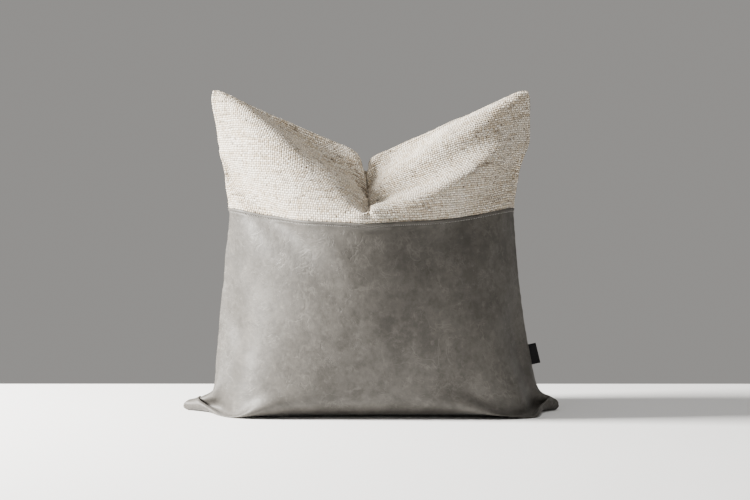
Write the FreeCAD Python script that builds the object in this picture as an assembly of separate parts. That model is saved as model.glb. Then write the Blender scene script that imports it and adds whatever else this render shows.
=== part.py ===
import FreeCAD
import Part
import math
import os

# Throw pillow standing on its bottom edge, ears up, with a dent chopped into the top.
# A square two-tone cover (woven band over a leather-look panel, front and back) holds
# a feather insert.  The cover closes with a zipper that is recessed in the bottom seam.
# Frame: +Z up, +X to the pillow's right as seen from the front, front faces -Y.
# Origin: centre of the footprint, on the surface that the pillow stands on.  Millimetres.

V = FreeCAD.Vector

# ---------------------------------------------------------------- driving dimensions
# The cover is 530 mm from seam to seam when flat; the skin below is the shape it fills to.
FABRIC_T = 1.3              # cover cloth thickness
TICKING_T = 0.5             # insert shell thickness
CLOTH_GAP = 1.4             # air between the cover and the insert shell
HALF_DEPTH = 120.0          # belly to seam plane
BASE_HALF_Y = 62.0          # half width of the patch that is pressed flat on the surface
BELLY_T = -0.35             # height of the belly on the cover, -1 bottom seam, +1 top seam
SEAM_GAP = 0.9              # between the front and the back panels at the seam plane
JOIN_GAP = 0.5              # between a woven panel and a leather-look panel
JOIN_SIDE_Z = 276.0         # height of the join at the side seams
JOIN_MID_Z = 255.0          # height of the join at the middle
DENT_DEPTH = 0.34           # share of the half depth lost in the chopped dent
DENT_WIDTH = 0.17           # its half width, as a share of the pillow's half width
STITCH_DROP = 5.0           # join to topstitch line
STITCH_W = 0.7
INSERT_BASE_Z = 8.0         # the insert's flat bottom clears the zipper
INSERT_CORNER_X = 202.0     # the insert doesn't fill the pinched bottom corners

# Side seam, from the bottom corner tip to the top corner tip: (t, x, z)
SIDE = [(-1.0, 259.0, 0.0), (-0.94, 246.0, 10.0), (-0.88, 230.5, 19.5), (-0.80, 217.5, 35.0),
        (-0.70, 212.5, 56.0), (-0.50, 210.0, 97.0), (-0.25, 205.0, 150.0), (0.0, 199.0, 205.0),
        (0.20, 195.0, 248.0), (0.3333, 194.0, 277.0), (0.50, 198.0, 314.0), (0.70, 206.5, 363.0),
        (0.85, 213.0, 403.0), (1.0, 215.0, 437.5)]
# Top seam, half of it, from the dent to the corner tip: (s, x, z)
TOP = [(0.0, 0.0, 337.0), (0.07, 14.0, 345.5), (0.15, 31.0, 359.0), (0.30, 63.0, 376.0),
       (0.50, 106.0, 396.0), (0.70, 148.0, 412.5), (0.85, 182.0, 427.5), (1.0, 215.0, 437.5)]
# Bottom seam, half of it: (s, x)
BOTTOM = [(0.0, 0.0), (0.5, 128.0), (0.8, 205.0), (1.0, 259.0)]

N_S = 33                    # interpolation points across a face
N_T = 17                    # and up each panel

# Zipper, heights from the floor
ZIP_SLOT_HALF_X = 212.0
ZIP_SLOT_HALF_Y = 3.7
ZIP_HEM_T = 1.2
ZIP_HEM_TOP = 4.6
TAPE_Z = (4.75, 5.25)
TAPE_Y = (2.62, 13.0)
TAPE_HALF_X = 208.0
TEETH_Y = (0.38, 2.6)
TEETH_Z = (4.0, 6.0)
TEETH_HALF_X = 192.0
TOOTH_PITCH = 2.5
SLIDER_X = -184.0
SLIDER_LEN = 9.0
SLIDER_HALF_Y = 3.4
PULL_PIVOT_Z = 2.15
PULL_LEN = 20.0
PULL_T = 1.0
PULL_HALF_W = 2.2

# Side label, folded in two and caught in the right side seam
LABEL_LEN = 28.0
LABEL_OUT = 10.6
LABEL_IN = 7.0
LABEL_T = 0.25
LABEL_Z = 78.0


def spline(table, col):
    """Smooth interpolation of one column of a table."""
    xs = [r[0] for r in table]
    ys = [r[col] for r in table]
    n = len(xs)
    d = [(ys[i + 1] - ys[i]) / (xs[i + 1] - xs[i]) for i in range(n - 1)]
    m = [d[0]] + [0.0] * (n - 2) + [d[-1]]
    for i in range(1, n - 1):
        h0, h1 = xs[i] - xs[i - 1], xs[i + 1] - xs[i]
        m[i] = (h1 * d[i - 1] + h0 * d[i]) / (h0 + h1)

    def f(x):
        i = max(0, min(n - 2, sum(1 for a in xs[1:-1] if a <= x)))
        h = xs[i + 1] - xs[i]
        u = (x - xs[i]) / h
        return ((2 * u ** 3 - 3 * u ** 2 + 1) * ys[i] + (u ** 3 - 2 * u ** 2 + u) * h * m[i]
                + (-2 * u ** 3 + 3 * u ** 2) * ys[i + 1] + (u ** 3 - u ** 2) * h * m[i + 1])
    return f


side_x, side_z = spline(SIDE, 1), spline(SIDE, 2)
top_x, top_z = spline(TOP, 1), spline(TOP, 2)
bot_x = spline(BOTTOM, 1)


def sgn(a):
    return -1.0 if a < 0 else 1.0


def half_depth(t):
    """Half depth of the filled pillow at height t of the cover."""
    if t <= BELLY_T:
        return HALF_DEPTH - (HALF_DEPTH - BASE_HALF_Y) * ((BELLY_T - t) / (1 + BELLY_T)) ** 2
    v = (t - BELLY_T) / (1 - BELLY_T)
    return HALF_DEPTH * math.sqrt(max(0.0, 1 - v * v)) * (1 - 0.12 * v)


def skin_point(s, t, face=-1, inset=0.0, base_z=0.0, gap=SEAM_GAP):
    """A point on a skin of the pillow: s across and t up the flat cover, face -1 front, +1 back,
    inset millimetres inside the outermost skin, its flat bottom at base_z."""
    tau = (1 + t) / 2
    tx, tz = sgn(s) * top_x(abs(s)), top_z(abs(s))
    x = s * side_x(t) + (1 - tau) * (sgn(s) * bot_x(abs(s)) - s * side_x(-1)) + tau * (tx - s * side_x(1))
    z = side_z(t) + tau * (tz - side_z(1))
    # the cloth is pinched together in the bottom corners: the layers inside stop short of them
    reach = (-0.40, 0.35) if base_z > 4 else (-0.70, 0.16)
    low = min(1.0, max(0.0, (reach[0] - t) / reach[1]))
    low = low * low * (3 - 2 * low)
    if base_z > 4:
        stop_short = max(0.0, side_x(t) - INSERT_CORNER_X)
    else:
        stop_short = 1.8 * (max(0.0, inset) + base_z)
    x *= 1 - (inset + low * stop_short) / side_x(t)
    z += base_z * max(0.0, 1 - z / 120) ** 2 - inset * z / tz
    dent = 1 - DENT_DEPTH * math.exp(-(s / DENT_WIDTH) ** 2) * min(1.0, max(0.0, (t - 0.32) / 0.55)) ** 1.5
    y = (half_depth(t) * (1 - inset / HALF_DEPTH)) * math.sqrt(max(0.0, 1 - s * s)) * dent
    return V(x, face * (gap / 2 + y), z)


def t_at_join(s, above, inset=0.0, base_z=0.0):
    """Where the join (or a curve parallel to it, above it) crosses column s of a skin."""
    target = JOIN_MID_Z + (JOIN_SIDE_Z - JOIN_MID_Z) * s * s + above
    lo, hi = -1.0, 1.0
    for _ in range(60):
        mid = (lo + hi) / 2
        if skin_point(s, mid, -1, inset, base_z).z < target:
            lo = mid
        else:
            hi = mid
    return (lo + hi) / 2


S_NODES = [math.sin(-math.pi / 2 + math.pi * i / (N_S - 1)) for i in range(N_S)]
S_NODES[0], S_NODES[-1] = -1.0, 1.0


def rows_between(s, t0, t1, n):
    """Heights from t0 to t1, closer together near the top seam, where the skin turns over."""
    a0 = math.asin((t0 - BELLY_T) / (1 - BELLY_T)) if t0 > BELLY_T else (t0 - BELLY_T)
    a1 = math.asin(min(1.0, (t1 - BELLY_T) / (1 - BELLY_T))) if t1 > BELLY_T else (t1 - BELLY_T)
    out = []
    for j in range(n):
        a = a0 + (a1 - a0) * j / (n - 1)
        out.append(BELLY_T + (1 - BELLY_T) * math.sin(a) if a > 0 else BELLY_T + a)
    out[0], out[-1] = t0, t1
    return out


def patch(face, inset, base_z, lower, upper, n, gap=SEAM_GAP):
    """A smooth surface of a skin between two curves given as functions of s."""
    pts = []
    for s in S_NODES:
        pts.append([skin_point(s, t, face, inset, base_z, gap) for t in rows_between(s, lower(s), upper(s), n)])
    surf = Part.BSplineSurface()
    surf.interpolate(pts)
    return surf


def borders(surf):
    """The four border curves: left, right, bottom, top."""
    u0, u1, v0, v1 = surf.bounds()
    return surf.uIso(u0), surf.uIso(u1), surf.vIso(v0), surf.vIso(v1)


def ruled(c1, c2):
    return Part.makeRuledSurface(c1.toShape(), c2.toShape())


def closed(faces):
    shell = Part.makeShell(faces)
    shell.sewShape(1e-4)
    solid = Part.makeSolid(Part.Shell(shell.Faces) if shell.ShapeType != "Shell" else shell)
    if solid.Volume < 0:
        solid.reverse()
    return solid


def strip(face, inset0, inset1, lower, upper, n, base_z=0.0):
    """A thin solid between two skins and two curves, with no flat bottom."""
    a = patch(face, inset0, base_z, lower, upper, n)
    b = patch(face, inset1, base_z, lower, upper, n)
    faces = [a.toShape(), b.toShape()] + [ruled(p, q) for p, q in zip(borders(a), borders(b))]
    return closed(faces)


def polygon_face(pts):
    return Part.Face(Part.makePolygon(pts + [pts[0]]))


def bottomed(face, inset0, inset1, base0, base1, upper, n, slot=None):
    """A thin wall between two skins, closed at the bottom by a flat slab from base0 to base1.
    slot, if given, is the half length and half width of an opening along the seam."""
    bottom = lambda s: -1.0
    a = patch(face, inset0, base0, bottom, upper, n)
    b = patch(face, inset1, base1, bottom, upper, n)
    la, ra, ba, ta = borders(a)
    lb, rb, bb, tb = borders(b)
    faces = [a.toShape(), b.toShape(), ruled(la, lb), ruled(ra, rb), ruled(ta, tb)]
    y = face * SEAM_GAP / 2

    def inner_edge(curve, z):
        p0, p1 = curve.value(curve.FirstParameter), curve.value(curve.LastParameter)
        ends = [V(p0.x, y, z), V(p1.x, y, z)]
        if not slot:
            return ends
        return [ends[0], V(-slot[0], y, z), V(-slot[0], face * slot[1], z), V(slot[0], face * slot[1], z),
                V(slot[0], y, z), ends[1]]
    e0, e1 = inner_edge(ba, base0), inner_edge(bb, base1)
    for curve, line in ((ba, e0), (bb, e1)):
        wire = Part.Wire([curve.toShape()] + [Part.makeLine(line[i], line[i + 1]) for i in range(len(line) - 1)])
        faces.append(Part.Face(wire))
    for i in range(len(e0) - 1):
        faces.append(polygon_face([e0[i], e0[i + 1], e1[i + 1], e1[i]]))
    return closed(faces)


def box(x0, x1, y0, y1, z0, z1):
    return Part.makeBox(x1 - x0, y1 - y0, z1 - z0, V(x0, y0, z0))


T1 = FABRIC_T
T2 = T1 + CLOTH_GAP
T3 = T2 + TICKING_T
T4 = T3 + 0.8
top_edge = lambda s: 1.0
parts = {}

# ---------------------------------------------------------------- cover panels
for name, face in (("front", -1), ("back", 1)):
    lower = bottomed(face, 0.0, T1, 0.0, T1, lambda s: t_at_join(s, -JOIN_GAP / 2), N_T,
                     slot=(ZIP_SLOT_HALF_X, ZIP_SLOT_HALF_Y))
    y0, y1 = sorted((face * ZIP_SLOT_HALF_Y, face * (ZIP_SLOT_HALF_Y + ZIP_HEM_T)))
    hem = box(-ZIP_SLOT_HALF_X + 2, ZIP_SLOT_HALF_X - 2, y0, y1, 0.0, ZIP_HEM_TOP)
    parts[name + "_lower_panel"] = lower.fuse(hem).removeSplitter()
    parts[name + "_upper_panel"] = strip(face, 0.0, T1, lambda s: t_at_join(s, JOIN_GAP / 2), top_edge, N_T)
    # topstitch line, under the join and proud of the leather-look panel
    parts[name + "_join_topstitch"] = strip(
        face, -0.35, -0.75, lambda s: t_at_join(s, -STITCH_DROP - STITCH_W / 2),
        lambda s: t_at_join(s, -STITCH_DROP + STITCH_W / 2), 3)

# ---------------------------------------------------------------- feather insert
for name, face in (("front", -1), ("back", 1)):
    parts["insert_ticking_" + name] = bottomed(face, T2, T3, INSERT_BASE_Z, INSERT_BASE_Z + TICKING_T, top_edge, 29)
base = INSERT_BASE_Z + TICKING_T + 0.35
f = patch(-1, T4, base, lambda s: -1.0, top_edge, 29, gap=0.0)
b = patch(1, T4, base, lambda s: -1.0, top_edge, 29, gap=0.0)
floor_wire = Part.Wire([borders(f)[2].toShape(), borders(b)[2].toShape()])
parts["feather_filling"] = closed([f.toShape(), b.toShape(), Part.Face(floor_wire)])

# ---------------------------------------------------------------- thread that closes the side and top seams
def seam_line(inset):
    """The seam, right round from the left of the zipper to its right, inset in its plane."""
    pts = [skin_point(-1 + 0.04, -1, -1, inset, 0.6, 0.0)]
    n = 26
    pts += [skin_point(-1, -0.995 + 1.995 * i / n, -1, inset, 0.6, 0.0) for i in range(n)]
    pts += [skin_point(S_NODES[i], 1, -1, inset, 0.6, 0.0) for i in range(0, N_S)]
    pts += [skin_point(1, 1 - 1.995 * (i + 1) / n, -1, inset, 0.6, 0.0) for i in range(n)]
    pts += [skin_point(1 - 0.04, -1, -1, inset, 0.6, 0.0)]
    return [V(p.x, -0.22, p.z) for p in pts]


outer, inner = seam_line(0.35), seam_line(0.95)
inner[0].z = inner[-1].z = outer[0].z + 0.6
ring = Part.Face(Part.makePolygon(outer + inner[::-1] + [outer[0]])).extrude(V(0, 0.44, 0))

# ---------------------------------------------------------------- side label
t_label = -0.595
label_x = side_x(t_label)
slope = math.degrees(math.atan2(side_x(t_label - 0.06) - side_x(t_label + 0.06),
                                side_z(t_label + 0.06) - side_z(t_label - 0.06)))
LABEL_TILT = 14.0           # degrees, its top leans back to the pillow's middle
ply = LABEL_T
side_label = box(-LABEL_IN, LABEL_OUT, -ply - 0.05, ply + 0.05, -LABEL_LEN / 2, LABEL_LEN / 2).cut(
    box(-LABEL_IN - 1, LABEL_OUT - ply, -0.05, 0.05, -LABEL_LEN / 2 - 1, LABEL_LEN / 2 + 1))
label_room = box(-LABEL_IN - 0.3, LABEL_OUT + 5, -1, 1, -LABEL_LEN / 2 - 0.3, LABEL_LEN / 2 + 0.3)
for s in (side_label, label_room):
    s.rotate(V(0, 0, 0), V(0, 1, 0), -LABEL_TILT)
    s.translate(V(label_x, 0, LABEL_Z))
def region(line):
    """Everything inside a line that follows the seam."""
    return Part.Face(Part.makePolygon(line + [line[0]])).extrude(V(0, 4, 0))


inside_cover = region([V(p.x, -2, p.z) for p in seam_line(T2 - 0.3)])
parts["side_label"] = side_label.cut(inside_cover)
parts["seam_thread"] = Part.makeCompound(ring.cut(label_room).Solids)

# ---------------------------------------------------------------- zipper
for name, sign in (("front", -1), ("back", 1)):
    y0, y1 = sorted((sign * TAPE_Y[0], sign * TAPE_Y[1]))
    parts["zipper_tape_" + name] = box(-TAPE_HALF_X, TAPE_HALF_X, y0, y1, *TAPE_Z)
    # a row of teeth on the tape's edge: a rack with a tooth every pitch
    n = int(2 * (TEETH_HALF_X - 1) / TOOTH_PITCH)
    root_y, tip_y = sign * 1.3, sign * TEETH_Y[0]
    out_y = sign * TEETH_Y[1]
    shift = 0.0 if sign < 0 else TOOTH_PITCH / 2
    pts = [V(-TEETH_HALF_X, out_y, TEETH_Z[0]), V(-TEETH_HALF_X, root_y, TEETH_Z[0])]
    for i in range(n):
        x = -TEETH_HALF_X + 0.4 + shift * 0.8 + i * TOOTH_PITCH
        pts += [V(x, root_y, TEETH_Z[0]), V(x + 0.15, tip_y, TEETH_Z[0]),
                V(x + 0.95, tip_y, TEETH_Z[0]), V(x + 1.1, root_y, TEETH_Z[0])]
    pts += [V(TEETH_HALF_X, root_y, TEETH_Z[0]), V(TEETH_HALF_X, out_y, TEETH_Z[0])]
    rack = Part.Face(Part.makePolygon(pts + [pts[0]])).extrude(V(0, 0, TEETH_Z[1] - TEETH_Z[0]))
    parts["zipper_teeth_" + name] = rack

stops = [box(-TEETH_HALF_X - 2.6, -TEETH_HALF_X - 0.2, -2.9, -0.3, 3.9, 6.1),
         box(-TEETH_HALF_X - 2.6, -TEETH_HALF_X - 0.2, 0.3, 2.9, 3.9, 6.1)]
for i, s in enumerate(stops):  # clear of the tape that they are crimped on
    stops[i] = s.cut(box(-300, 300, -15, -TAPE_Y[0] + 0.02, TAPE_Z[0] - 0.02, TAPE_Z[1] + 0.02)).cut(
        box(-300, 300, TAPE_Y[0] - 0.02, 15, TAPE_Z[0] - 0.02, TAPE_Z[1] + 0.02))
parts["zipper_top_stops"] = Part.makeCompound(stops)
bottom_stop = box(TEETH_HALF_X + 0.2, TEETH_HALF_X + 4.2, -2.9, 2.9, 3.9, 6.1).cut(
    box(-300, 300, -15, -TAPE_Y[0] + 0.02, TAPE_Z[0] - 0.02, TAPE_Z[1] + 0.02)).cut(
    box(-300, 300, TAPE_Y[0] - 0.02, 15, TAPE_Z[0] - 0.02, TAPE_Z[1] + 0.02))
parts["zipper_bottom_stop"] = bottom_stop

# slider: two plates joined by a thin post between the rows, flanges round the teeth
sx0, sx1 = SLIDER_X - SLIDER_LEN / 2, SLIDER_X + SLIDER_LEN / 2
h = SLIDER_HALF_Y
slider = box(sx0, sx1, -h, h, 2.9, 3.8)
slider = slider.fuse(box(sx0, sx1, -h, h, 6.2, 7.0))
for sign in (-1, 1):
    y0, y1 = sorted((sign * 2.8, sign * h))
    slider = slider.fuse(box(sx0, sx1, y0, y1, 3.8, 4.55)).fuse(box(sx0, sx1, y0, y1, 5.45, 6.2))
slider = slider.fuse(box(SLIDER_X + 0.5, sx1 - 0.6, -0.22, 0.22, 3.8, 6.2))
# the bridge that carries the pull
bridge = box(SLIDER_X - 2.6, SLIDER_X + 2.6, -0.6, 0.6, 0.9, 2.95).cut(
    box(SLIDER_X - 1.6, SLIDER_X + 1.6, -1, 1, 1.5, 2.9))
slider = slider.fuse(bridge).removeSplitter()
parts["zipper_slider"] = slider

pull = box(SLIDER_X - PULL_LEN, SLIDER_X, -PULL_HALF_W, PULL_HALF_W,
           PULL_PIVOT_Z - PULL_T / 2, PULL_PIVOT_Z + PULL_T / 2)
pull = pull.fuse(Part.makeCylinder(PULL_T / 2, 2 * PULL_HALF_W, V(SLIDER_X, -PULL_HALF_W, PULL_PIVOT_Z), V(0, 1, 0)))
pull = pull.cut(box(SLIDER_X - 5.0, SLIDER_X - PULL_T / 2, -1.0, 1.0, 0, 5))
pull = pull.cut(Part.makeCylinder(1.1, 5, V(SLIDER_X - PULL_LEN + 3.0, 0, 0), V(0, 0, 1)))
tip_edges = [e for e in pull.Edges if abs(e.Vertexes[0].Point.x - (SLIDER_X - PULL_LEN)) < 1e-6
             and abs(e.Vertexes[-1].Point.x - (SLIDER_X - PULL_LEN)) < 1e-6
             and abs(e.Vertexes[0].Point.z - e.Vertexes[-1].Point.z) > 0.5]
pull = pull.makeFillet(1.6, tip_edges)
parts["zipper_pull"] = pull.removeSplitter()

# ---------------------------------------------------------------- inner labels
parts["care_label"] = box(140, 180, 4.0, 12.4, 5.6, 5.85)
parts["insert_label"] = box(60, 100, -12.4, -4.0, 6.6, 6.85)

os.makedirs("parts", exist_ok=True)
for name, shape in sorted(parts.items()):
    b = shape.BoundBox
    print("%-24s solids %d valid %s vol %.2f cm3  x %.1f..%.1f y %.2f..%.2f z %.2f..%.1f" % (
        name, len(shape.Solids), shape.isValid(), shape.Volume / 1000, b.XMin, b.XMax, b.YMin, b.YMax, b.ZMin, b.ZMax))
    shape.exportStep("parts/%s.step" % name)
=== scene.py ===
import bpy
import math
import numpy as np
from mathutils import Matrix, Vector
from mathutils.bvhtree import BVHTree


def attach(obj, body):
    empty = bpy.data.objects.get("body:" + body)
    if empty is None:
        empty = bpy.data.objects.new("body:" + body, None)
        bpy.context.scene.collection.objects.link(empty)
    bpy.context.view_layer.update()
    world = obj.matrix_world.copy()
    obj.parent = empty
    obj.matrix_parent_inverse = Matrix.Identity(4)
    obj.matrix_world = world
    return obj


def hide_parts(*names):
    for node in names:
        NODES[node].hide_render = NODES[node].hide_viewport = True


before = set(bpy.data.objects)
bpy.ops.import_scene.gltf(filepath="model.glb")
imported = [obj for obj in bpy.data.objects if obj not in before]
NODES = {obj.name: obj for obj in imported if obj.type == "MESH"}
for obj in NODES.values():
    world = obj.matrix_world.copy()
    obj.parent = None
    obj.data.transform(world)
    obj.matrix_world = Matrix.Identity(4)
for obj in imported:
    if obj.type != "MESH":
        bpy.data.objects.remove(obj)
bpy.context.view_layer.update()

# Looks of the throw pillow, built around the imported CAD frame.  Metres, +Z up, front faces -Y.
#
# The cover is a flat square of cloth, front and back, solved as inextensible cloth that is filled,
# stood on its bottom seam and chopped in the middle of its top seam.  The panels, seams, stitches,
# label, insert and filling are then cut from that solved shape.


# ------------------------------------------------------------------ sizes, metres
W = 0.530                     # flat cover, seam to seam
N = 192                       # cells across the solved cloth
JOIN_ROW = 124.0              # the join, in cells up the flat cover
WEFT = 0.00345                # pitch of the woven panel's rows
WARP = 0.00330
LEATHER_T = 0.0011
WOVEN_T = 0.0016

# Silhouette the filled pillow settles to: side seams (height, half width), top seam (half width, height)
SIDES = (
    np.array([(0.000, 0.2610), (0.005, 0.2605), (0.010, 0.2570), (0.0125, 0.2520), (0.015, 0.2370), (0.017, 0.2275),
              (0.020, 0.2205), (0.0225, 0.2140), (0.027, 0.2105), (0.042, 0.2115), (0.064, 0.2100), (0.0965, 0.2083),
              (0.151, 0.2042), (0.173, 0.2005), (0.217, 0.1970), (0.238, 0.1946), (0.271, 0.1919), (0.293, 0.1935),
              (0.304, 0.1960), (0.326, 0.1990), (0.348, 0.2040), (0.370, 0.2070), (0.391, 0.2097), (0.413, 0.2151),
              (0.424, 0.2165), (0.4345, 0.2165)]),
    np.array([(0.000, 0.2610), (0.005, 0.2605), (0.010, 0.2585), (0.0135, 0.2550), (0.0157, 0.2498), (0.020, 0.2393),
              (0.0225, 0.2310), (0.027, 0.2265), (0.042, 0.2230), (0.053, 0.2217), (0.0965, 0.2135), (0.129, 0.2080),
              (0.151, 0.2053), (0.184, 0.2012), (0.217, 0.1985), (0.249, 0.1957), (0.271, 0.1944), (0.290, 0.1948),
              (0.306, 0.1985), (0.319, 0.2012), (0.337, 0.2058), (0.355, 0.2121), (0.365, 0.2162), (0.381, 0.2173),
              (0.391, 0.2155), (0.4105, 0.2176), (0.432, 0.2165)]))
TOPE = np.array([(0.0, 0.334), (0.012, 0.3425), (0.022, 0.352), (0.036, 0.361), (0.053, 0.369), (0.072, 0.3765),
                 (0.094, 0.386), (0.112, 0.3945), (0.130, 0.401), (0.148, 0.409), (0.165, 0.416), (0.185, 0.426),
                 (0.205, 0.4355), (0.2165, 0.4395)])


# ------------------------------------------------------------------ cloth solver
def area_vectors(P):
    n = np.cross(P[:, 1:, 1:] - P[:, :-1, :-1], P[:, 1:, :-1] - P[:, :-1, 1:]) * 0.125
    n[1] *= -1.0
    A = np.zeros_like(P)
    A[:, :-1, :-1] += n
    A[:, 1:, :-1] += n
    A[:, :-1, 1:] += n
    A[:, 1:, 1:] += n
    return A


def project(A, B, rest, kt, kc):
    d = B - A
    L = np.sqrt((d * d).sum(-1))
    s = (L - rest) / np.maximum(L, 1e-9)
    s *= np.where(s > 0, kt, kc) * 0.5
    d *= s[..., None]
    A += d
    B -= d


def weld(P):
    for sl in (np.s_[0, :], np.s_[-1, :], np.s_[:, 0], np.s_[:, -1]):
        a = (P[0][sl] + P[1][sl]) * 0.5
        P[0][sl] = a
        P[1][sl] = a


def bend(P, k):
    L = P[:, :, 2:] + P[:, :, :-2] - 2 * P[:, :, 1:-1]
    D = np.zeros_like(P)
    D[:, :, 1:-1] += L
    D[:, :, 2:] -= 0.5 * L
    D[:, :, :-2] -= 0.5 * L
    M = P[:, 2:] + P[:, :-2] - 2 * P[:, 1:-1]
    D[:, 1:-1] += M
    D[:, 2:] -= 0.5 * M
    D[:, :-2] -= 0.5 * M
    P += k * D * 0.25


def start_shape(n, seed):
    rng = np.random.RandomState(seed)
    m = n + 1
    u = np.linspace(-1, 1, m)
    U, Q = np.meshgrid(u, u, indexing="xy")
    P = np.zeros((2, m, m, 3))
    lens = np.sqrt(np.clip(1 - U ** 2, 0, 1)) * np.sqrt(np.clip(1 - Q ** 2, 0, 1))
    valley = 1 - 0.75 * np.exp(-(U / 0.10) ** 2) * np.clip((Q - 0.35) / 0.4, 0, 1)
    for f, sg in ((0, -1), (1, 1)):
        P[f, ..., 0] = U * W / 2 * (0.93 - 0.10 * (1 - Q ** 2))
        P[f, ..., 1] = sg * 0.08 * lens * valley
        P[f, ..., 2] = (Q + 1) * W / 2 * 0.86 + 0.01
    P[..., 1] += 0.0008 * rng.randn(2, m, m) * lens[None]
    weld(P)
    return P


def upsample(P):
    m = P.shape[1]

    def mid(a):
        c = np.zeros((a.shape[0], a.shape[1] - 1) + a.shape[2:])
        c[:, 1:-1] = (-a[:, :-3] + 9 * a[:, 1:-2] + 9 * a[:, 2:-1] - a[:, 3:]) / 16
        c[:, 0] = (a[:, 0] + a[:, 1]) / 2
        c[:, -1] = (a[:, -1] + a[:, -2]) / 2
        return c
    R = np.zeros((2, 2 * m - 1, m, 3))
    R[:, ::2] = P
    R[:, 1::2] = mid(P)
    Q = np.zeros((2, 2 * m - 1, 2 * m - 1, 3))
    Q[:, :, ::2] = R
    Q[:, :, 1::2] = mid(R.transpose(0, 2, 1, 3)).transpose(0, 2, 1, 3)
    return Q


def chop_line(rows, face):
    """Where the middle of the cloth goes under the chop: in from the belly, down, and up to the seam."""
    sg = -1 if face == 0 else 1
    t = np.linspace(0, 1, 200)[:, None]
    a, b, c = np.array([0.1130, 0.2720]), np.array([0.055, 0.268]), np.array([0.0, 0.325])
    p = a * (1 - t) ** 2 + 2 * b * t * (1 - t) + c * t ** 2
    s = np.concatenate([[0], np.cumsum(np.linalg.norm(np.diff(p, axis=0), axis=1))])
    at = np.linspace(0, s[-1], rows)
    y, z = np.interp(at, s, p[:, 0]), np.interp(at, s, p[:, 1])
    return np.stack([crease_x(z), sg * y, z], 1)


def crease_x(z):
    return np.interp(z, [0.268, 0.335], [-0.0012, -0.0072])


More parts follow.
